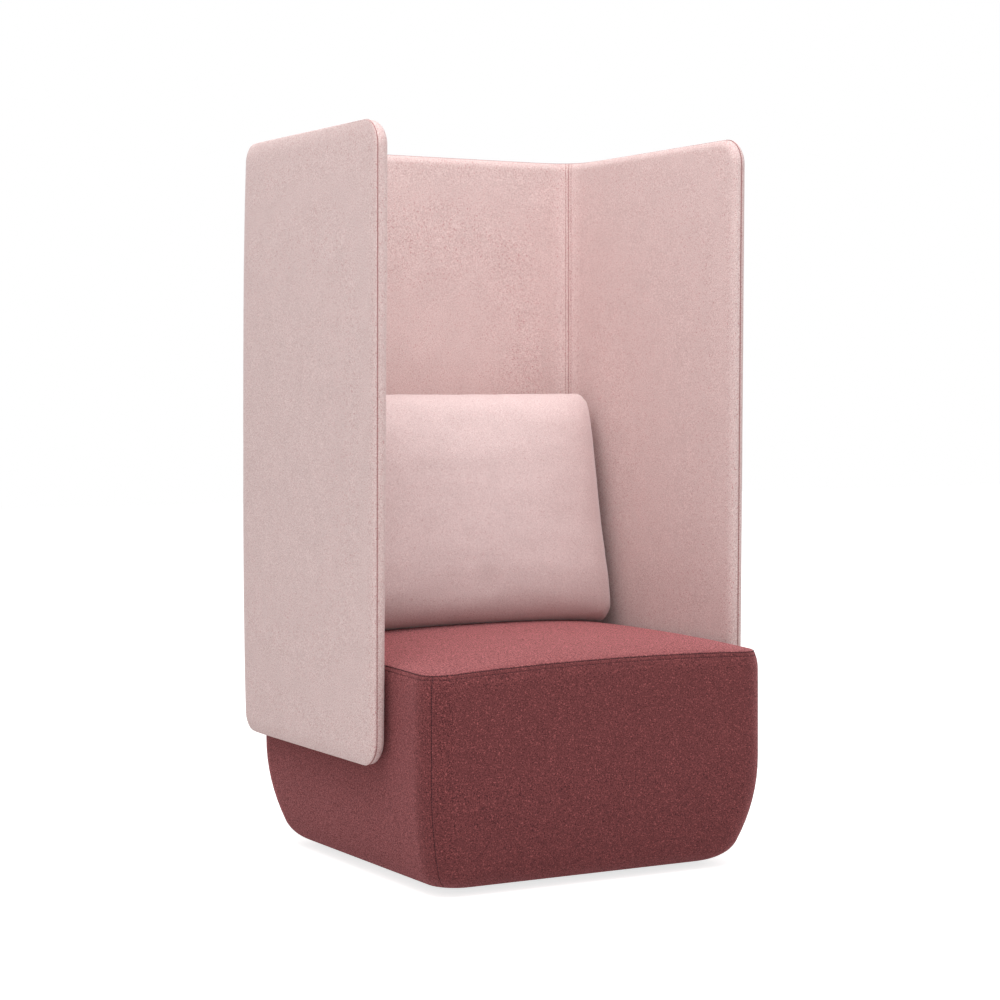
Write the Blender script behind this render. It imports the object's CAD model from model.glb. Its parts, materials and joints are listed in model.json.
import json
import math

import bpy
import numpy as np
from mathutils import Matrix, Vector, noise


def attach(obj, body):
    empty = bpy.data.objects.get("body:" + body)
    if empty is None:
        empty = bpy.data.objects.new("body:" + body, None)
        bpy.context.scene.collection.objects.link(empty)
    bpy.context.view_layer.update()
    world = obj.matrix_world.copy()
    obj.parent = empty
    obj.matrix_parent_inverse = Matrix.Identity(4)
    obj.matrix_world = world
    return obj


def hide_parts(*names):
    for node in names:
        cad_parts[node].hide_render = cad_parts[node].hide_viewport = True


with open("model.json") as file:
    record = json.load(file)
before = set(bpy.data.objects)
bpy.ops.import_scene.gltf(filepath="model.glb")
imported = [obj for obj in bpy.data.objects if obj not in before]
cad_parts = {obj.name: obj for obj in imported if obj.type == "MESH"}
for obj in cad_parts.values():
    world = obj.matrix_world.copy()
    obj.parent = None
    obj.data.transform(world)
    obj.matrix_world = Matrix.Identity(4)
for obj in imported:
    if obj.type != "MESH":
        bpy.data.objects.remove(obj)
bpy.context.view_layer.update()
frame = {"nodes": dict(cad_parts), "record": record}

# Sizes in metres. The cloth keeps to the solids, except where it is puffed, drawn in or settled.
MM = 0.001
BASE_WIDTH = 720 * MM
BASE_DEPTH = 720 * MM
BASE_MID = -14.25 * MM
BASE_CORNER = 50 * MM
FLOOR_GAP = 10 * MM
TUCK_RADIUS = 460 * MM
TUCK_ANGLE = math.radians(20.5)
ROLL_RADIUS = 57 * MM
SEAM_HEIGHT = 399.5 * MM
SEAM_RISE_X = 9 * MM
SEAM_RISE_Y = 6.5 * MM
SEAM_TILT = 4.5 * MM
SEAT_CROWN = 13.5 * MM
SEAM_INSET = 8 * MM
PANEL_FACE = 349.75 * MM
PANEL_THICKNESS = 30 * MM
WING_FACE = 366 * MM
SPLAY = math.radians(0.3)
WING_LENGTH = 604 * MM
SCREEN_BOTTOM = 223 * MM
SCREEN_TOP = 1376.5 * MM
SETTLED_FROM = 800 * MM
FRONT_SLANT = 16 * MM
BEND_RADIUS = 45 * MM
OUTLINE_CORNER = 50 * MM
INNER_ROUNDING = 18 * MM
FRONT_ROUNDING = 18 * MM
LEVEL_ROUNDING = 34 * MM
SIDE_TOP = 340 * MM
FLAP_WIDTH = 29 * MM
CUSHION_WIDTH = 692 * MM
CUSHION_HEIGHT = 480 * MM
CUSHION_THICKNESS = 184 * MM
CUSHION_LEAN = math.radians(11.3)
CUSHION_FOOT = 188 * MM
CUSHION_SINK = 9 * MM
CUSHION_CORNER = 28 * MM
CUSHION_DRAW = 3 * MM
CUSHION_SAG = 14 * MM
BROAD_FOLD = 1.9 * MM
SMALL_FOLD = 1.0 * MM
CLOTH = 1.5 * MM
STITCH = 4.2 * MM
THREAD_SIDES = 6

# Millimetres: topstitched rows, the edge seam's distance from the inner face, crowns, the settled top,
# and the places of the cloth's rings and columns beside a seam.
TOPSTITCH = 5.8
SEAT_TOPSTITCH = 7.2
SEAM_BACK = 19
SEAM_BEND_DIP = 6
SEAM_RIGHT = 15.5
SEAM_LEFT = 20
SEAM_LEFT_RISE = 6.5
INNER_CROWN = 3.0
OUTER_CROWN = 4.3
BEND_CROWN = 2
TOP_LIFT = 0.6
LEFT_HANG = 3.2
RIGHT_LIFT = 0.8
GRID_STEPS = (0.0, 0.7, 1.4, 2.4, 4.0, 5.2, 5.8, 6.4, 7.6, 10.0, 13.0)
RIM_INSETS = (50, 44, 38, 32, 27, 22, 18, 14.5, 11.5, 9, 6.8, 5, 3.5, 2.3, 1.4, 0.7, 0.3, 0.0)
BEND_INSETS = (0.6, 1.4, 2.3, 3.5, 5, 6.8, 9, 11.5, 14.5, 18, 22, 27, 32, 38)
FACE_INSET = 50.0
SEAT_INSETS = (42, 36, 30, 25, 20, 16, 12.5, 9.5, 7, 5, 3.5, 2.3, 1.3, 0.6, 0.0)
SIDE_DROPS = (0.7, 1.3, 2.2, 3.4, 4.6, 5.8, 6.6, 7.2, 7.8, 8.6, 10, 13, 17, 22, 28, 35, 45)

BEND_TURN = math.pi / 2 - SPLAY
BEND_REACH = BEND_RADIUS * math.tan(BEND_TURN / 2)
BEND_X = WING_FACE - BEND_REACH
BEND_Y = PANEL_FACE - BEND_RADIUS
BEND_LENGTH = BEND_RADIUS * BEND_TURN
SCREEN_REACH = BEND_X + BEND_LENGTH + WING_LENGTH - BEND_REACH
BEND_SEAM = BEND_X + BEND_LENGTH / 2
LEAN = math.atan2(FRONT_SLANT, SCREEN_TOP - SCREEN_BOTTOM)
RIM_ANGLES = (-math.pi / 2, -LEAN, math.pi / 2, math.pi + LEAN)
TUCK_START = FLOOR_GAP + ROLL_RADIUS + (TUCK_RADIUS - ROLL_RADIUS) * math.sin(TUCK_ANGLE)
UNDERCUT = TUCK_RADIUS - (TUCK_RADIUS - ROLL_RADIUS) * math.cos(TUCK_ANGLE)


def linear(*channels):
    """A linear colour from channels of 0 to 255."""
    values = []
    for channel in channels:
        share = channel / 255
        values.append(share / 12.92 if share <= 0.04045 else ((share + 0.055) / 1.055) ** 2.4)
    return (*values, 1.0)


# Materials.

def new_material(name):
    """A material with its node tree and its shader."""
    material = bpy.data.materials.new(name)
    material.use_nodes = True
    tree = material.node_tree
    shader = tree.nodes["Principled BSDF"]
    return material, tree, shader


def noise_node(tree, coordinates, scale, detail=2.0, roughness=0.5):
    node = tree.nodes.new("ShaderNodeTexNoise")
    node.inputs["Scale"].default_value = scale
    node.inputs["Detail"].default_value = detail
    node.inputs["Roughness"].default_value = roughness
    tree.links.new(coordinates, node.inputs["Vector"])
    return node.outputs["Fac"]


def ramp_node(tree, value, stops):
    node = tree.nodes.new("ShaderNodeValToRGB")
    ramp = node.color_ramp
    ramp.elements[0].position, ramp.elements[0].color = stops[0]
    ramp.elements[1].position, ramp.elements[1].color = stops[-1]
    for position, color in stops[1:-1]:
        element = ramp.elements.new(position)
        element.color = color
    tree.links.new(value, node.inputs["Fac"])
    return node.outputs["Color"]


def mix_node(tree, factor, first, second, blend="MIX"):
    """A mix of two colours, each a value or a node's output."""
    node = tree.nodes.new("ShaderNodeMix")
    node.data_type = "RGBA"
    node.blend_type = blend
    for socket, value in ((node.inputs[0], factor), (node.inputs[6], first), (node.inputs[7], second)):
        if isinstance(value, (float, tuple)):
            socket.default_value = value
        else:
            tree.links.new(value, socket)
    return node.outputs[2]


def cloth_material(name, dark, light, fleck, fleck_share, sheen, sheen_tint, grain=1.0, bump=0.25,
                   cloudy=0.05, fuzz=(0.7, 1.3), sheen_roughness=0.45):
    """Felted wool: mixed fibres, sparse flecks, a faint slow unevenness and a fuzzy sheen."""
    material, tree, shader = new_material(name)
    coordinates = tree.nodes.new("ShaderNodeTexCoord").outputs["Object"]
    fine = noise_node(tree, coordinates, 620 / grain, 3.0, 0.65)
    fibres = ramp_node(tree, fine, [(0.34, dark), (0.66, light)])
    spots = noise_node(tree, coordinates, 430 / grain, 1.0)
    spot_mask = ramp_node(tree, spots, [(0.5 + fleck_share, (0, 0, 0, 1)), (0.72, (1, 1, 1, 1))])
    color = mix_node(tree, spot_mask, fibres, fleck)
    slow = noise_node(tree, coordinates, 22.0, 3.0)
    shade = ramp_node(tree, slow, [(0.3, (0.97, 0.97, 0.97, 1)), (0.7, (1.02, 1.02, 1.02, 1))])
    color = mix_node(tree, 1.0, color, shade, "MULTIPLY")
    tufts = noise_node(tree, coordinates, 300.0, 2.0)
    low, high = 1 - cloudy, 1 + cloudy
    tuft_shade = ramp_node(tree, tufts, [(0.3, (low, low, low, 1)), (0.7, (high, high, high, 1))])
    color = mix_node(tree, 1.0, color, tuft_shade, "MULTIPLY")
    tree.links.new(color, shader.inputs["Base Color"])
    shader.inputs["Roughness"].default_value = 0.92
    shader.inputs["Specular IOR Level"].default_value = 0.15
    nap_thickness = ramp_node(tree, noise_node(tree, coordinates, 420.0, 2.0, 0.6),
                              [(0.36, (sheen * fuzz[0],) * 3 + (1,)), (0.64, (sheen * fuzz[1],) * 3 + (1,))])
    tree.links.new(nap_thickness, shader.inputs["Sheen Weight"])
    shader.inputs["Sheen Roughness"].default_value = sheen_roughness
    shader.inputs["Sheen Tint"].default_value = sheen_tint
    weave = noise_node(tree, coordinates, 1100.0, 2.0)
    nap = noise_node(tree, coordinates, 380.0, 2.0)
    height = mix_node(tree, 0.5, weave, nap)
    bump_node = tree.nodes.new("ShaderNodeBump")
    bump_node.inputs["Strength"].default_value = bump
    bump_node.inputs["Distance"].default_value = 0.6 * MM
    tree.links.new(height, bump_node.inputs["Height"])
    tree.links.new(bump_node.outputs["Normal"], shader.inputs["Normal"])
    return material


def plain_material(name, color, second, roughness, scale, metallic=0.0, stretch=(1, 1, 1)):
    """A simple uneven finish for the pieces that the cloth hides."""
    material, tree, shader = new_material(name)
    coordinates = tree.nodes.new("ShaderNodeTexCoord").outputs["Object"]
    mapping = tree.nodes.new("ShaderNodeMapping")
    mapping.inputs["Scale"].default_value = stretch
    tree.links.new(coordinates, mapping.inputs["Vector"])
    pattern = noise_node(tree, mapping.outputs["Vector"], scale, 4.0, 0.6)
    tree.links.new(ramp_node(tree, pattern, [(0.3, color), (0.7, second)]), shader.inputs["Base Color"])
    shader.inputs["Roughness"].default_value = roughness
    shader.inputs["Metallic"].default_value = metallic
    bump_node = tree.nodes.new("ShaderNodeBump")
    bump_node.inputs["Strength"].default_value = 0.2
    bump_node.inputs["Distance"].default_value = 0.3 * MM
    tree.links.new(pattern, bump_node.inputs["Height"])
    tree.links.new(bump_node.outputs["Normal"], shader.inputs["Normal"])
    return material


SCREEN_CLOTH = cloth_material(
    "screen_wool", linear(192, 161, 159), linear(236, 216, 213), linear(190, 136, 136), 0.09,
    0.35, linear(246, 238, 238))
CUSHION_CLOTH = cloth_material(
    "cushion_wool", linear(206, 177, 176), linear(238, 220, 218), linear(200, 160, 160), 0.12,
    0.6, linear(252, 248, 248), grain=0.85)
BASE_CLOTH = cloth_material(
    "base_wool", linear(48, 22, 29), linear(138, 73, 73), linear(156, 86, 86), 0.09,
    0.6, linear(255, 166, 170), grain=1.1, bump=0.6, cloudy=0.24, fuzz=(0.1, 2.0))
SEAT_CLOTH = cloth_material(
    "seat_wool", linear(58, 27, 34), linear(164, 91, 92), linear(176, 106, 104), 0.09,
    0.8, linear(255, 172, 176), grain=1.5, bump=0.6, cloudy=0.3, fuzz=(0.0, 2.2))
THREAD = plain_material("pink_thread", linear(158, 98, 98), linear(182, 122, 120), 0.9, 900.0)
BASE_THREAD = plain_material("burgundy_thread", linear(44, 18, 26), linear(62, 26, 34), 0.9, 900.0)
FINISHES = {
    "plywood": plain_material("plywood", linear(196, 160, 116), linear(214, 182, 140), 0.7, 40.0,
                              stretch=(0.2, 1, 3)),
    "foam": plain_material("foam", linear(214, 204, 170), linear(226, 218, 190), 0.95, 700.0),
    "steel": plain_material("zinc_plated_steel", linear(150, 152, 155), linear(176, 178, 180), 0.35, 300.0,
                            metallic=1.0),
    "webbing": plain_material("webbing", linear(42, 42, 44), linear(60, 60, 62), 0.9, 800.0),
    "dust_cloth": plain_material("dust_cloth", linear(24, 24, 25), linear(34, 34, 35), 0.95, 1200.0),
    "glide": plain_material("glide_plastic", linear(28, 28, 29), linear(36, 36, 37), 0.5, 500.0),
    "felt": plain_material("felt", linear(52, 50, 50), linear(72, 70, 70), 1.0, 1500.0),
}
for part in frame["record"]["subparts"]:
    finish = FINISHES.get(part["material_slot"])
    if finish:
        data = frame["nodes"][part["node"]].data
        data.materials.clear()
        data.materials.append(finish)


# Meshes.

def new_object(name, points, faces, material):
    """A smooth-shaded mesh, linked to the scene."""
    data = bpy.data.meshes.new(name)
    data.from_pydata([tuple(point) for point in points], [], [tuple(face) for face in faces])
    data.validate()
    data.materials.append(material)
    data.shade_smooth()
    obj = bpy.data.objects.new(name, data)
    bpy.context.scene.collection.objects.link(obj)
    return obj


def joined_points(points, faces, distance=1e-6):
    """Points and faces with points closer than a distance made one."""
    keys = np.round(points / distance).astype(np.int64)
    _, first, inverse = np.unique(keys, axis=0, return_index=True, return_inverse=True)
    inverse = inverse.reshape(-1)
    kept = []
    for face in faces:
        ring = [inverse[index] for index in face]
        ring = [value for place, value in enumerate(ring) if value != ring[place - 1]]
        if len(ring) >= 3:
            kept.append(ring)
    return points[first], kept


def used_part(points, faces):
    """Only the points that the faces use."""
    used = sorted({index for face in faces for index in face})
    place = {index: number for number, index in enumerate(used)}
    return points[used], [[place[index] for index in face] for face in faces]


def apply_modifier(obj, modifier):
    """Bake one modifier into the mesh."""
    bpy.context.view_layer.update()
    graph = bpy.context.evaluated_depsgraph_get()
    data = bpy.data.meshes.new_from_object(obj.evaluated_get(graph))
    obj.modifiers.remove(modifier)
    old = obj.data
    obj.data = data
    bpy.data.meshes.remove(old)
    data.shade_smooth()


def thicken(obj, thickness):
    """Give a sheet of cloth its thickness, inward."""
    modifier = obj.modifiers.new("thickness", "SOLIDIFY")
    modifier.thickness = thickness
    modifier.offset = -1
    apply_modifier(obj, modifier)


# Shares of a quarter turn: evenly spread, and closer on both sides of a seam in its middle.
EVEN_ARC = [step / 12 for step in range(1, 12)]
SEWN_ARC = [0.12, 0.24, 0.34, 0.40, 0.44, 0.462, 0.478, 0.49, 0.5,
            0.51, 0.522, 0.538, 0.56, 0.60, 0.66, 0.76, 0.88]


def rounded_loop(sides, angles, reach, shares):
    """Points and outward directions round four straight runs of centres, at a reach from them."""
    points = []
    normals = []
    for number, side in enumerate(sides):
        start = angles[number]
        stop = angles[(number + 1) % 4]
        stop += 2 * math.pi if stop < start else 0
        outward = np.array([math.cos(start), math.sin(start)])
        points += [center + reach * outward for center in side]
        normals += [outward] * len(side)
        for share in shares:
            angle = start + (stop - start) * share
            outward = np.array([math.cos(angle), math.sin(angle)])
            points.append(side[-1] + reach * outward)
            normals.append(outward)
    return np.array(points), np.array(normals)


def ring_faces(count, first, second):
    """Quads between two closed rings of as many points."""
    return [(first + place, first + (place + 1) % count, second + (place + 1) % count, second + place)
            for place in range(count)]


def grid_faces(columns, rows, start, flipped=False):
    """Quads between rows of points."""
    faces = []
    for row in range(rows - 1):
        for column in range(columns - 1):
            corner = start + row * columns + column
            face = (corner, corner + 1, corner + columns + 1, corner + columns)
            faces.append(face[::-1] if flipped else face)
    return faces


def spread(low, high, step, marks=()):
    """Places from low to high about a step apart, closer on both sides of each mark."""
    places = set(np.linspace(low, high, max(2, round((high - low) / step) + 1)))
    for mark in marks:
        places = {place for place in places if abs(place - mark) > 14 * MM}
        places |= {mark + side * offset * MM for side in (-1, 1) for offset in GRID_STEPS}
    return np.array(sorted(places))


def unevenness(points, size, seed):
    """Smooth values between -1 and 1 at points, with features of a size."""
    shift = Vector((seed * 13.1, seed * 7.7, seed * 3.3))
    return np.array([noise.noise(Vector(point) / size + shift) for point in points])


# Screen.

def screen_place(s, offset, height):
    """A point at a run s from the screen's middle, measured on its inner face, and out from that face."""
    run = abs(s)
    if run <= BEND_X:
        x, y = run, PANEL_FACE + offset
    elif run <= BEND_X + BEND_LENGTH:
        angle = math.pi / 2 - (run - BEND_X) / BEND_RADIUS
        x = BEND_X + (BEND_RADIUS + offset) * math.cos(angle)
        y = BEND_Y + (BEND_RADIUS + offset) * math.sin(angle)
    else:
        along = run - BEND_X - BEND_LENGTH + BEND_REACH
        x = WING_FACE + math.sin(SPLAY) * along + math.cos(SPLAY) * offset
        y = PANEL_FACE - math.cos(SPLAY) * along + math.sin(SPLAY) * offset
    return (math.copysign(x, s), y, height)


def bump_up(value, low, high):
    """A smooth step from 0 at low to 1 at high."""
    share = min(max((value - low) / (high - low), 0.0), 1.0)
    return share * share * (3 - 2 * share)


def panel_crown(s, height, inner):
    """How far a panel's face swells between its seams."""
    middle = (SCREEN_TOP + SCREEN_BOTTOM) / 2
    up = abs(height - middle) / ((SCREEN_TOP - SCREEN_BOTTOM) / 2)
    run = abs(s)
    front = SCREEN_REACH - BEND_SEAM
    if inner:
        across = run / BEND_SEAM if run < BEND_SEAM else abs((run - BEND_SEAM) * 2 / front - 1)
        swell = INNER_CROWN * MM * (0.45 + 0.55 * bump_up(height, 0.40, 0.60))
        return swell * max(0.0, 1 - up ** 4) * max(0.0, 1 - across ** 4)
    across = max(0.0, (run - BEND_SEAM) / front)
    swell = (OUTER_CROWN + BEND_CROWN * (1 - across)) * MM
    return swell * max(0.0, 1 - up ** 3) * max(0.0, 1 - across ** 4)


def bend_groove(s):
    """Depth of the sewn seam and its two topstitched rows in a bend."""
    away = abs(abs(s) - BEND_SEAM) / MM
    groove = 1.5 * max(0.0, 1 - (away / 1.8) ** 2)
    rows = 0.6 * math.exp(-((away - TOPSTITCH) / 1.0) ** 2)
    lips = 0.45 * math.exp(-((away - 3.3) / 1.3) ** 2)
    return (groove + rows - lips) * MM


def rounded_share(inset, rounding):
    """From 1 at the sewn edge to 0 where the panel's face begins."""
    share = min(inset * MM / rounding, 1.0)
    return 1 - math.sqrt(max(0.0, 1 - (1 - share) ** 2))


def seam_offset(s, height):
    """Distance of the edge seam from the inner face's plane; the sewn cloth does not sit evenly."""
    up = (height - SCREEN_BOTTOM) / (SCREEN_TOP - SCREEN_BOTTOM)
    front = (SEAM_LEFT + SEAM_LEFT_RISE * up) if s < 0 else SEAM_RIGHT
    across = SEAM_BACK - SEAM_BEND_DIP * math.exp(-((abs(s) - BEND_SEAM) / (45 * MM)) ** 2)
    return (across + (front - across) * bump_up(abs(s), BEND_SEAM, SCREEN_REACH)) * MM


def face_offset(inset, inner, level, seam):
    """Distance of the cloth from the inner face's plane, at an inset from the outline.

    The outer panel is rounder along its level edges, where level is 1, than along its front ones.
    """
    if inner:
        return seam * rounded_share(inset, INNER_ROUNDING)
    rounding = FRONT_ROUNDING + (LEVEL_ROUNDING - FRONT_ROUNDING) * level
    return PANEL_THICKNESS - (PANEL_THICKNESS - seam) * rounded_share(inset, rounding)


def seam_pull(inset, inner, level):
    """How far the cloth is drawn in beside the edge seam."""
    width = 2.4 if inner else 1.4 - 0.9 * level
    return (1.0 + 0.7 * level) * MM * max(0.0, 1 - inset / width)


def settled(s, height):
    """The height of a point once the cloth has settled: the left wing's top hangs a little."""
    up = max(0.0, (height - SETTLED_FROM) / (SCREEN_TOP - SETTLED_FROM))
    reach = bump_up(abs(s), BEND_X, SCREEN_REACH)
    return height + (TOP_LIFT - (LEFT_HANG if s < 0 else -RIGHT_LIFT) * reach) * MM * up


def screen_rings():
    """Insets from the outline, from the inner face over the seam to the outer face."""
    return [(inset, "inner") for inset in RIM_INSETS] + [(inset, "outer") for inset in RIM_INSETS[::-1]]


def front_edge(height):
    """The run, at a height, of the centres that the slanting front edge is rounded from."""
    return SCREEN_REACH - (SCREEN_TOP - height) * math.tan(LEAN) - OUTLINE_CORNER / math.cos(LEAN)


def screen_sides():
    """The grid's runs and heights, and the four straight runs of centres inside the outline."""
    low = SCREEN_BOTTOM + OUTLINE_CORNER
    high = SCREEN_TOP - OUTLINE_CORNER
    reach = front_edge(high)
    rows = spread(low, high, 8 * MM)
    columns = spread(-reach, reach, 8 * MM, marks=(-BEND_SEAM, BEND_SEAM))
    upright = 450 * MM

    def line(height):
        places = []
        for column in columns:
            run = abs(column)
            if run > upright:
                run = upright + (run - upright) * (front_edge(height) - upright) / (reach - upright)
            places.append(np.array((math.copysign(run, column), height)))
        return places

    sides = [
        line(low),
        [np.array((front_edge(height), height)) for height in rows],
        line(high)[::-1],
        [np.array((-front_edge(height), height)) for height in rows[::-1]],
    ]
    return [line(height) for height in rows], sides
def outline_flat(sides, grid):
    """The cloth before it is bent round, as rings over the rim and a grid for each face."""
    flat = []
    layers = []
    for inset, half in screen_rings():
        inner = half == "inner"
        points, normals = rounded_loop(sides, RIM_ANGLES, OUTLINE_CORNER - inset * MM, EVEN_ARC)
        layers.append((len(flat), len(points), half))
        for (s, z), (out_s, out_z) in zip(points, normals):
            level = out_z ** 2
            pull = seam_pull(inset, inner, level)
            offset = face_offset(inset, inner, level, seam_offset(s, z))
            flat.append((s - out_s * pull, z - out_z * pull, offset, inner, inset))
    grids = []
    for half in ("inner", "outer"):
        inner = half == "inner"
        grids.append((len(flat), half))
        flat += [(s, z, 0.0 if inner else PANEL_THICKNESS, inner, FACE_INSET) for row in grid for s, z in row]
    return np.array(flat), layers, grids


def stitch_edge(sides):
    """The thread of the edge seam, deeper along the level edges."""
    points, normals = rounded_loop(sides, RIM_ANGLES, OUTLINE_CORNER, EVEN_ARC)
    path = []
    for (s, z), (out_s, out_z) in zip(points, normals):
        seam = seam_offset(s, z)
        recess = (0.5 + 0.8 * out_z ** 2) * MM
        spot = np.array(screen_place(s - out_s * recess, seam, settled(s, z) - out_z * recess))
        beyond = np.array(screen_place(s + out_s * MM, seam, settled(s, z) + out_z * MM))
        path.append((spot, (beyond - spot) / np.linalg.norm(beyond - spot)))
    path.append(path[0])
    thread_row("screen_edge_stitches", path, THREAD, 0.3 * MM, 0.65 * MM)


def screen_placed(flat):
    """The cloth bent round in its place, with crowned faces, puckered seams and faint unevenness."""
    stretched = [(s, z, offset * 4) for s, z, offset, _, _ in flat]
    wave = unevenness(stretched, 0.05, 1)
    ripple = unevenness(stretched, 0.011, 2)
    placed = []
    for (s, z, offset, inner, inset), broad, small in zip(flat, wave, ripple):
        flatness = bump_up(inset, 3.0, 40.0)
        change = panel_crown(s, z, inner) * bump_up(inset, 0.0, 30.0) + 0.25 * MM * broad * flatness
        near_rim = math.exp(-((inset - 8) / 8) ** 2)
        near_bend = math.exp(-((abs(abs(s) - BEND_SEAM) / MM - 9) / 5) ** 2)
        change += 0.22 * MM * small * max(near_rim, near_bend)
        change -= bend_groove(s)
        offset += -change if inner else change
        placed.append(screen_place(s, offset, settled(s, z)))
    return np.array(placed)


def build_screen():
    """Six cloth panels over the whole screen, sewn round the rim and down each bend."""
    grid, sides = screen_sides()
    flat, layers, grids = outline_flat(sides, grid)
    stitch_edge(sides)
    placed = screen_placed(flat)
    faces = []
    for (first, count, half), (second, _, other) in zip(layers, layers[1:]):
        if half == other:
            faces += [(face[::-1], half) for face in ring_faces(count, first, second)]
    for start, half in grids:
        faces += [(face, half) for face in grid_faces(len(grid[0]), len(grid), start, half == "outer")]
    pieces = {}
    for face, half in faces:
        middle = sum(flat[index][0] for index in face) / len(face)
        panel = "back" if abs(middle) < BEND_SEAM else ("right" if middle > 0 else "left")
        pieces.setdefault((panel, half), []).append(face)
    for (panel, half), chosen in pieces.items():
        points, kept = joined_points(*used_part(placed, chosen))
        obj = new_object(f"{panel}_{half}_cloth", points, kept, SCREEN_CLOTH)
        thicken(obj, CLOTH)
        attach(obj, "chair")
        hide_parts(f"{panel}_{half}_cover", f"{panel}_{half}_foam")


def thread_row(name, path, material, gap, radius):
    """Separate stitches along a path of (point, outward) pairs, each dipping in at its ends."""
    points = np.array([point for point, _ in path])
    outward = np.array([direction for _, direction in path])
    steps = np.linalg.norm(np.diff(points, axis=0), axis=1)
    runs = np.concatenate([[0], np.cumsum(steps)])
    count = int(runs[-1] / (STITCH + gap))
    vertices = []
    faces = []
    shares = (0.0, 0.2, 0.5, 0.8, 1.0)
    rises = (-0.6, 0.25, 0.6, 0.25, -0.6)
    for number in range(count):
        start = number * (STITCH + gap)
        centers = []
        for share, rise in zip(shares, rises):
            run = start + share * STITCH
            center = np.array([np.interp(run, runs, points[:, axis]) for axis in range(3)])
            out = np.array([np.interp(run, runs, outward[:, axis]) for axis in range(3)])
            out /= np.linalg.norm(out)
            centers.append((center + out * rise * radius, out))
        forward = centers[-1][0] - centers[0][0]
        forward /= np.linalg.norm(forward)
        first = len(vertices)
        for place, (center, out) in enumerate(centers):
            across = np.cross(forward, out)
            size = radius * (0.7 if place in (0, 4) else 1.0)
            for side in range(THREAD_SIDES):
                angle = 2 * math.pi * side / THREAD_SIDES
                vertices.append(center + size * (math.cos(angle) * out + math.sin(angle) * across))
        last = first + 4 * THREAD_SIDES
        for ring in range(first, last, THREAD_SIDES):
            faces += ring_faces(THREAD_SIDES, ring, ring + THREAD_SIDES)
        faces.append(tuple(range(first + THREAD_SIDES - 1, first - 1, -1)))
        faces.append(tuple(range(last, last + THREAD_SIDES)))
    obj = new_object(name, vertices, faces, material)
    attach(obj, "chair")
    return obj


def bend_profile(s, inner):
    """Heights and offsets of the cloth in a bend, from the bottom rim to the top one."""
    ends = [(SCREEN_BOTTOM + inset * MM + seam_pull(inset, inner, 1.0), inset) for inset in BEND_INSETS]
    heights = np.linspace(SCREEN_BOTTOM + 45 * MM, SCREEN_TOP - 45 * MM, 60)
    middle = [(height, FACE_INSET) for height in heights]
    tops = [(SCREEN_TOP + SCREEN_BOTTOM - height, inset) for height, inset in ends[::-1]]
    profile = []
    for height, inset in ends + middle + tops:
        change = panel_crown(s, height, inner) * bump_up(inset, 0.0, 30.0) - bend_groove(s)
        offset = face_offset(inset, inner, 1.0, seam_offset(s, height))
        profile.append((settled(s, height), offset - change if inner else offset + change))
    return np.array(profile)


def build_bend_stitching():
    """The upright seam in each bend and a row of topstitching on both sides of it, inside and outside."""
    for side_name, side in (("left", -1), ("right", 1)):
        for half in ("inner", "outer"):
            for row, shift in (("left", -TOPSTITCH * MM), ("middle", 0.0), ("right", TOPSTITCH * MM)):
                s = side * (BEND_SEAM + shift)
                profile = bend_profile(s, half == "inner")
                along = np.gradient(profile, axis=0)
                along /= np.linalg.norm(along, axis=1, keepdims=True)
                path = []
                for (height, offset), (rise, run) in zip(profile, along):
                    up, out = (run, -rise) if half == "inner" else (-run, rise)
                    point = np.array(screen_place(s, offset, height))
                    other = np.array(screen_place(s, offset + out * MM, height + up * MM))
                    path.append((point, (other - point) / np.linalg.norm(other - point)))
                name = f"{side_name}_bend_{half}_stitches_{row}"
                gap = 0.5 * MM if row == "middle" else 1.4 * MM
                thread_row(name, path, THREAD, gap, 0.55 * MM)


# Seat block.

def seam_height(x, y):
    """Height of the top seam, which rises between the corners and a little to the right."""
    across = x / (BASE_WIDTH / 2)
    along = (y - BASE_MID) / (BASE_DEPTH / 2)
    rise = SEAM_RISE_X * (1 - across ** 2) + SEAM_RISE_Y * (1 - along ** 2)
    return SEAM_HEIGHT + rise + SEAM_TILT * across


def seat_height(x, y):
    """The crowned seat surface."""
    across = min(abs(x / (BASE_WIDTH / 2)), 1.0)
    along = min(abs((y - BASE_MID) / (BASE_DEPTH / 2)), 1.0)
    return seam_height(x, y) + SEAT_CROWN * (1 - across ** 4) * (1 - along ** 4)


def base_loop(inset, reach, places):
    """A plan loop of the block whose corner centres are drawn in by an inset."""
    half_x = BASE_WIDTH / 2 - BASE_CORNER - inset
    half_y = BASE_DEPTH / 2 - BASE_CORNER - inset
    xs = [place * half_x for place in places]
    ys = [BASE_MID + place * half_y for place in places]
    sides = [
        [np.array((x, ys[0])) for x in xs],
        [np.array((xs[-1], y)) for y in ys],
        [np.array((x, ys[-1])) for x in xs[::-1]],
        [np.array((xs[0], y)) for y in ys[::-1]],
    ]
    angles = [-math.pi / 2, 0.0, math.pi / 2, math.pi]
    return rounded_loop(sides, angles, reach, SEWN_ARC)


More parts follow.
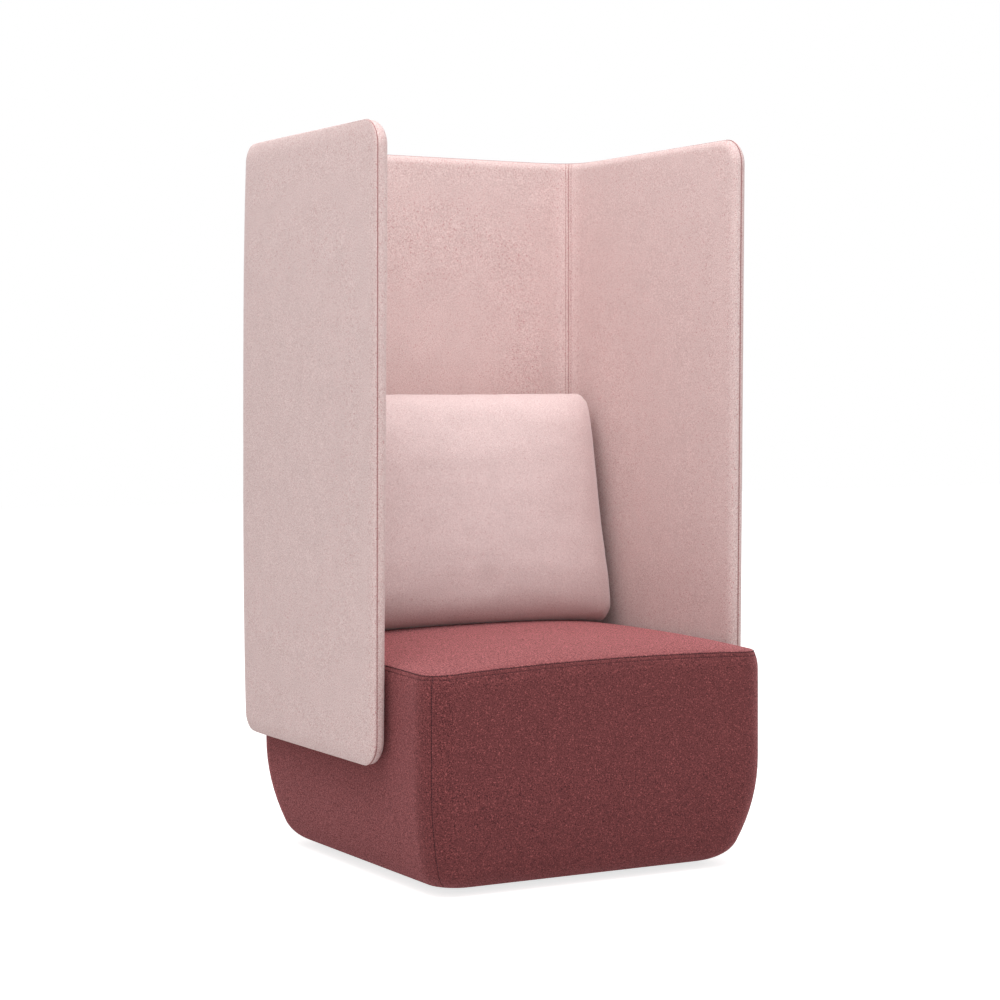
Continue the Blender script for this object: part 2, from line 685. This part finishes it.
def lower_profile():
    """Insets and heights down the block's side from below its top edge to the flap under it."""
    points = [(0.0, height) for height in np.linspace(SIDE_TOP, TUCK_START, 14)]
    for step in range(1, 9):
        angle = TUCK_ANGLE * step / 8
        points.append((TUCK_RADIUS * (1 - math.cos(angle)), TUCK_START - TUCK_RADIUS * math.sin(angle)))
    center_height = FLOOR_GAP + ROLL_RADIUS
    for step in range(1, 15):
        angle = TUCK_ANGLE + (math.pi / 2 - TUCK_ANGLE) * step / 14
        inset = UNDERCUT - ROLL_RADIUS * math.cos(angle)
        points.append((inset, center_height - ROLL_RADIUS * math.sin(angle)))
    return points + [(UNDERCUT + 12 * MM, FLOOR_GAP), (UNDERCUT + FLAP_WIDTH, FLOOR_GAP)]


def edge_inset(below):
    """How far the soft top edge stands in from the side, at a depth below the seam, in millimetres."""
    share = max(0.0, 1 - below / 35)
    inset = SEAM_INSET / MM * share ** 2.3 + 0.7 * max(0.0, 1 - below / 1.1)
    lip = 0.35 * math.exp(-((below - 3.6) / 1.8) ** 2)
    row = 0.5 * math.exp(-((below - SEAT_TOPSTITCH) / 0.7) ** 2)
    return inset - lip + row


def corner_pull(number, count):
    """Depth of the upright seam in the middle of each rounded corner."""
    side = count // 4
    arc = len(SEWN_ARC)
    place = number % side - (side - arc)
    if place < 0:
        return 0.0
    away = abs(SEWN_ARC[place] - 0.5) * BASE_CORNER / MM * math.pi / 2
    return (1.3 * max(0.0, 1 - (away / 1.5) ** 2) - 0.35 * math.exp(-((away - 3.2) / 1.6) ** 2)) * MM


def build_seat(places):
    """The seat's cloth, rolled down to its seam."""
    flat = []
    layers = []
    for inside in SEAT_INSETS:
        drawn = inside + 0.7 * max(0.0, 1 - inside)
        points, _ = base_loop(0.0, BASE_CORNER - SEAM_INSET - drawn * MM, places)
        drop = 2.2 * max(0.0, 1 - inside / 17) ** 2 + 1.0 * max(0.0, 1 - inside / 1.2)
        drop -= 0.3 * math.exp(-((inside - 3.0) / 1.6) ** 2)
        layers.append(len(flat))
        flat += [(x, y, seat_height(x, y) + (1.0 - drop) * MM) for x, y in points]
    start = len(flat)
    half_x = BASE_WIDTH / 2 - BASE_CORNER
    half_y = BASE_DEPTH / 2 - BASE_CORNER
    for along in places:
        y = BASE_MID + along * half_y
        flat += [(across * half_x, y, seat_height(across * half_x, y) + MM) for across in places]
    faces = grid_faces(len(places), len(places), start)
    for first, second in zip(layers, layers[1:]):
        faces += [face[::-1] for face in ring_faces(len(points), first, second)]
    flat = np.array(flat)
    edge = flat[layers[-1]:layers[-1] + len(points)].copy()
    flat[:layers[-1], 2] += 0.3 * MM * unevenness(flat[:layers[-1]], 0.045, 3)
    flat[start:, 2] += 0.3 * MM * unevenness(flat[start:], 0.045, 3)
    points, kept = joined_points(flat, faces)
    return new_object("seat_cloth", points, kept, SEAT_CLOTH), edge


def build_sides(places, edge):
    """Four side panels from the seat's seam down, sewn to each other at the corners."""
    flat = [tuple(point) for point in edge]
    count = len(edge)
    rings = [(below, None) for below in SIDE_DROPS]
    rings += [(None, profile) for profile in lower_profile()]
    for below, profile in rings:
        points, normals = base_loop(profile[0] if profile else 0.0, BASE_CORNER, places)
        for number, ((x, y), (out_x, out_y), top) in enumerate(zip(points, normals, edge)):
            pull = corner_pull(number, count)
            if profile:
                lift = bump_up(profile[1], TUCK_START, 0.354) * (top[2] - 0.399)
                z = profile[1] + lift
                pull *= 1.0 if profile[0] < UNDERCUT else 0.0
            else:
                z = top[2] - below * MM
                pull = max(pull, 0.0) * min(1.0, below / 6) + edge_inset(below) * MM
                if 2.5 < below < 20:
                    pull += 0.22 * MM * noise.noise(Vector((x, y, z)) / 0.011)
            flat.append((x - out_x * pull, y - out_y * pull, z))
    flat = np.array(flat)
    side = count // 4
    seams = [(number + 1) * side - len(SEWN_ARC) + SEWN_ARC.index(0.5) for number in range(4)]
    for number, name in enumerate(("front_right", "back_right", "back_left", "front_left")):
        path = []
        for ring in range(len(rings) - 2):
            point = flat[ring * count + seams[number]]
            outward = np.array((point[0], point[1] - BASE_MID, 0.0))
            path.append((point, outward / np.linalg.norm(outward)))
        thread_row(f"{name}_seam_thread", path, BASE_THREAD, 0.4 * MM, 0.6 * MM)
    made = []
    for number, name in enumerate(("front", "right", "back", "left")):
        start = seams[number - 1]
        span = (seams[number] - start) % count
        chosen = []
        for ring in range(len(rings)):
            for step in range(span):
                a = (start + step) % count
                b = (start + step + 1) % count
                chosen.append((ring * count + a, (ring + 1) * count + a,
                               (ring + 1) * count + b, ring * count + b))
        points, kept = joined_points(*used_part(flat, chosen))
        obj = new_object(f"{name}_side_cloth", points, kept, BASE_CLOTH)
        made.append((obj, (f"{name}_side_cover", f"{name}_side_foam")))
    return made


def build_base():
    """The seat block's five cloth panels with their seams."""
    places = np.linspace(-1, 1, 79)
    seat, edge = build_seat(places)
    made = [(seat, ("seat_cover", "seat_foam", "seat_wadding"))] + build_sides(places, edge)
    for obj, nodes in made:
        thicken(obj, CLOTH)
        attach(obj, "chair")
        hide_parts(*nodes)
    points, normals = base_loop(0.0, BASE_CORNER, places)
    for name, below, depth, gap, radius in (
            ("seat_seam_thread", 0.0, -0.2, 0.4 * MM, 0.8 * MM),
            ("seat_topstitch", SEAT_TOPSTITCH, 0.0, 1.4 * MM, 0.5 * MM)):
        path = []
        for (x, y), (out_x, out_y), top in zip(points, normals, edge):
            pull = (edge_inset(below) + depth) * MM
            place = np.array((x - out_x * pull, y - out_y * pull, top[2] - below * MM))
            path.append((place, np.array((out_x, out_y, 0.0))))
        path.append(path[0])
        thread_row(name, path, BASE_THREAD, gap, radius)


# Cushion.

def cushion_stance():
    """The cushion's middle and its upright and outward directions."""
    foot_y = PANEL_FACE - CUSHION_FOOT
    foot_z = seat_height(0.0, foot_y) - CUSHION_SINK
    up = np.array((0.0, math.sin(CUSHION_LEAN), math.cos(CUSHION_LEAN)))
    back = np.array((0.0, math.cos(CUSHION_LEAN), -math.sin(CUSHION_LEAN)))
    middle = np.array((0.0, foot_y, foot_z)) + up * CUSHION_HEIGHT / 2
    return middle, up, back


def rounded_square(column, row):
    """A point of the cushion's front view, with rounded corners and drawn-in sides."""
    half_x = CUSHION_WIDTH / 2
    half_z = CUSHION_HEIGHT / 2
    x = column * (half_x - CUSHION_DRAW * (1 - row ** 2))
    z = row * (half_z - CUSHION_DRAW * (1 - column ** 2))
    over_x = abs(x) - (half_x - CUSHION_CORNER)
    over_z = abs(z) - (half_z - CUSHION_CORNER)
    if over_x > 0 and over_z > 0:
        shrink = max(over_x, over_z) / math.hypot(over_x, over_z)
        x = math.copysign(half_x - CUSHION_CORNER + over_x * shrink, x)
        z = math.copysign(half_z - CUSHION_CORNER + over_z * shrink, z)
    return x, z


def build_cushion():
    """Two sheets sewn round their edge, swelled by a cloth simulation and then leaned in place."""
    columns = np.linspace(-1, 1, 117)
    rows = np.linspace(-1, 1, 81)
    flat = []
    faces = []
    sewn = []
    for side in (-1, 1):
        start = len(flat)
        for row in rows:
            for column in columns:
                x, z = rounded_square(column, row)
                bulge = max(0.0, (1 - abs(column) ** 4) * (1 - abs(row) ** 4.6)) ** 0.5
                if max(abs(column), abs(row)) > 0.999:
                    sewn.append(len(flat))
                    tuck = 2.4 * MM * noise.noise(Vector((x, z, 0.0)) / 0.036)
                    x -= math.copysign(tuck, x)
                    z -= math.copysign(tuck, z)
                flat.append((x, side * CUSHION_THICKNESS / 2 * bulge * 0.96, z))
        faces += grid_faces(len(columns), len(rows), start, flipped=side > 0)
    flat = np.array(flat)
    points, kept = joined_points(flat, faces, 1e-5)
    obj = new_object("cushion_cloth", points, kept, CUSHION_CLOTH)
    sewn_points = {tuple(np.round(point / 1e-5)) for point in flat[sewn]}
    seam = [number for number, point in enumerate(points) if tuple(np.round(point / 1e-5)) in sewn_points]
    swell(obj, seam)
    crease(obj, seam)
    modifier = obj.modifiers.new("smooth", "SUBSURF")
    modifier.levels = 1
    modifier.render_levels = 1
    apply_modifier(obj, modifier)
    points = np.array([vertex.co for vertex in obj.data.vertices])
    for vertex, place in zip(obj.data.vertices, leaned(points)):
        vertex.co = place
    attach(obj, "cushion")
    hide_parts("cushion_front_cover", "cushion_back_cover", "cushion_filling")


def swell(obj, held, frames=20, reach=9 * MM):
    """Blow the sewn sheets up a little, holding their seam."""
    group = obj.vertex_groups.new(name="held")
    group.add(held, 1.0, "REPLACE")
    before = np.array([vertex.co for vertex in obj.data.vertices])
    modifier = obj.modifiers.new("cloth", "CLOTH")
    settings = modifier.settings
    settings.quality = 6
    settings.mass = 0.25
    settings.tension_stiffness = 18
    settings.compression_stiffness = 18
    settings.shear_stiffness = 6
    settings.bending_stiffness = 20
    settings.use_pressure = True
    settings.uniform_pressure_force = 0.9
    settings.vertex_group_mass = "held"
    settings.effector_weights.gravity = 0
    modifier.collision_settings.use_collision = False
    scene = bpy.context.scene
    for number in range(1, frames + 1):
        scene.frame_set(number)
    apply_modifier(obj, modifier)
    scene.frame_set(1)
    after = np.array([vertex.co for vertex in obj.data.vertices])
    moves = after - before
    lengths = np.linalg.norm(moves, axis=1, keepdims=True)
    moves *= reach * np.tanh(lengths / reach) / np.maximum(lengths, 1e-9)
    for vertex, place in zip(obj.data.vertices, before + moves):
        vertex.co = place


def crease(obj, seam):
    """Keep the sewn edge sharp when the cloth is smoothed."""
    sewn = set(seam)
    layer = obj.data.attributes.new("crease_edge", "FLOAT", "EDGE")
    for number, edge in enumerate(obj.data.edges):
        if edge.vertices[0] in sewn and edge.vertices[1] in sewn:
            layer.data[number].value = 0.9


def pressed(value, limit, softness):
    """A value kept above a limit, easing into it."""
    over = (value - limit) / softness
    return limit + softness * math.log1p(math.exp(over)) if over < 30 else value


def leaned(points):
    """The cushion set on the seat and against the back panel, flat only where it touches."""
    middle, up, back = cushion_stance()
    placed = []
    for x, out, z in points:
        low = max(0.0, 1 - (z + CUSHION_HEIGHT / 2) / (0.5 * CUSHION_HEIGHT))
        depth = min(1.0, abs(out) / (40 * MM))
        sag = CUSHION_SAG * low ** 2 * min(1.0, max(0.0, -out) / (30 * MM))
        fold = BROAD_FOLD * depth * noise.noise(Vector((x * 3.4, z * 15, math.copysign(4.0, out))))
        fold += SMALL_FOLD * depth * noise.noise(Vector((x * 9, z * 26, math.copysign(9.0, out))))
        place = middle + np.array((x, 0, 0)) + up * z + back * (out - sag + fold)
        floor = seat_height(place[0], place[1]) + 1.2 * MM
        place[2] = pressed(place[2], floor, 2.2 * MM)
        place[1] = -pressed(-place[1], -(PANEL_FACE - 3.4 * MM), 4 * MM)
        placed.append(place)
    return np.array(placed)


build_screen()
build_bend_stitching()
build_base()
build_cushion()


# Floor, light and camera.

def build_floor():
    """A pale floor that goes on to the horizon, and keeps a soft shadow."""
    material, tree, shader = new_material("floor")
    shader.inputs["Base Color"].default_value = (0.82, 0.82, 0.82, 1)
    shader.inputs["Roughness"].default_value = 1.0
    shader.inputs["Specular IOR Level"].default_value = 0.0
    path = tree.nodes.new("ShaderNodeLightPath")
    glow = tree.nodes.new("ShaderNodeEmission")
    glow.inputs["Color"].default_value = (1, 1, 1, 1)
    glow.inputs["Strength"].default_value = 0.75
    both = tree.nodes.new("ShaderNodeAddShader")
    mix = tree.nodes.new("ShaderNodeMixShader")
    tree.links.new(shader.outputs["BSDF"], both.inputs[0])
    tree.links.new(glow.outputs["Emission"], both.inputs[1])
    tree.links.new(path.outputs["Is Camera Ray"], mix.inputs["Fac"])
    tree.links.new(shader.outputs["BSDF"], mix.inputs[1])
    tree.links.new(both.outputs["Shader"], mix.inputs[2])
    tree.links.new(mix.outputs["Shader"], tree.nodes["Material Output"].inputs["Surface"])
    reach = 14.0
    corners = [(-reach, -reach, 0), (reach, -reach, 0), (reach, reach, 0), (-reach, reach, 0)]
    floor = new_object("floor", corners, [(0, 1, 2, 3)], material)


def build_world():
    """A studio that is plain white to the camera and a little warm and soft as light."""
    world = bpy.data.worlds.new("studio")
    bpy.context.scene.world = world
    world.use_nodes = True
    tree = world.node_tree
    tree.nodes.clear()
    path = tree.nodes.new("ShaderNodeLightPath")
    lit = tree.nodes.new("ShaderNodeBackground")
    lit.inputs["Color"].default_value = (1.0, 0.99, 0.98, 1)
    lit.inputs["Strength"].default_value = 0.57
    seen = tree.nodes.new("ShaderNodeBackground")
    seen.inputs["Color"].default_value = (1, 1, 1, 1)
    seen.inputs["Strength"].default_value = 1.0
    mix = tree.nodes.new("ShaderNodeMixShader")
    out = tree.nodes.new("ShaderNodeOutputWorld")
    tree.links.new(path.outputs["Is Camera Ray"], mix.inputs["Fac"])
    tree.links.new(lit.outputs["Background"], mix.inputs[1])
    tree.links.new(seen.outputs["Background"], mix.inputs[2])
    tree.links.new(mix.outputs["Shader"], out.inputs["Surface"])


def area_light(name, place, target, size, power):
    """A soft box that points at a target."""
    data = bpy.data.lights.new(name, "AREA")
    data.shape = "RECTANGLE"
    data.size, data.size_y = size
    data.energy = power
    light = bpy.data.objects.new(name, data)
    light.location = place
    light.rotation_euler = (Vector(target) - Vector(place)).to_track_quat("-Z", "Y").to_euler()
    bpy.context.scene.collection.objects.link(light)


def build_camera():
    """The photograph's camera: level, at cushion height, with its horizon above the picture's middle."""
    data = bpy.data.cameras.new("camera")
    data.sensor_width = 36.0
    data.lens = 86.4
    data.shift_y = -0.1048
    camera = bpy.data.objects.new("camera", data)
    camera.location = (-2.2894, -4.0285, 0.8830)
    camera.rotation_euler = (math.pi / 2, 0.0, -0.51587)
    bpy.context.scene.collection.objects.link(camera)
    bpy.context.scene.camera = camera


build_floor()
build_world()
area_light("overhead", (-0.65, -0.85, 3.4), (0, 0, 0.5), (3.2, 3.2), 97.0)
area_light("left_front", (-2.4, -4.0, 2.2), (0, 0, 0.7), (2.6, 2.2), 14.0)
build_camera()
bpy.context.scene.view_settings.view_transform = "Standard"
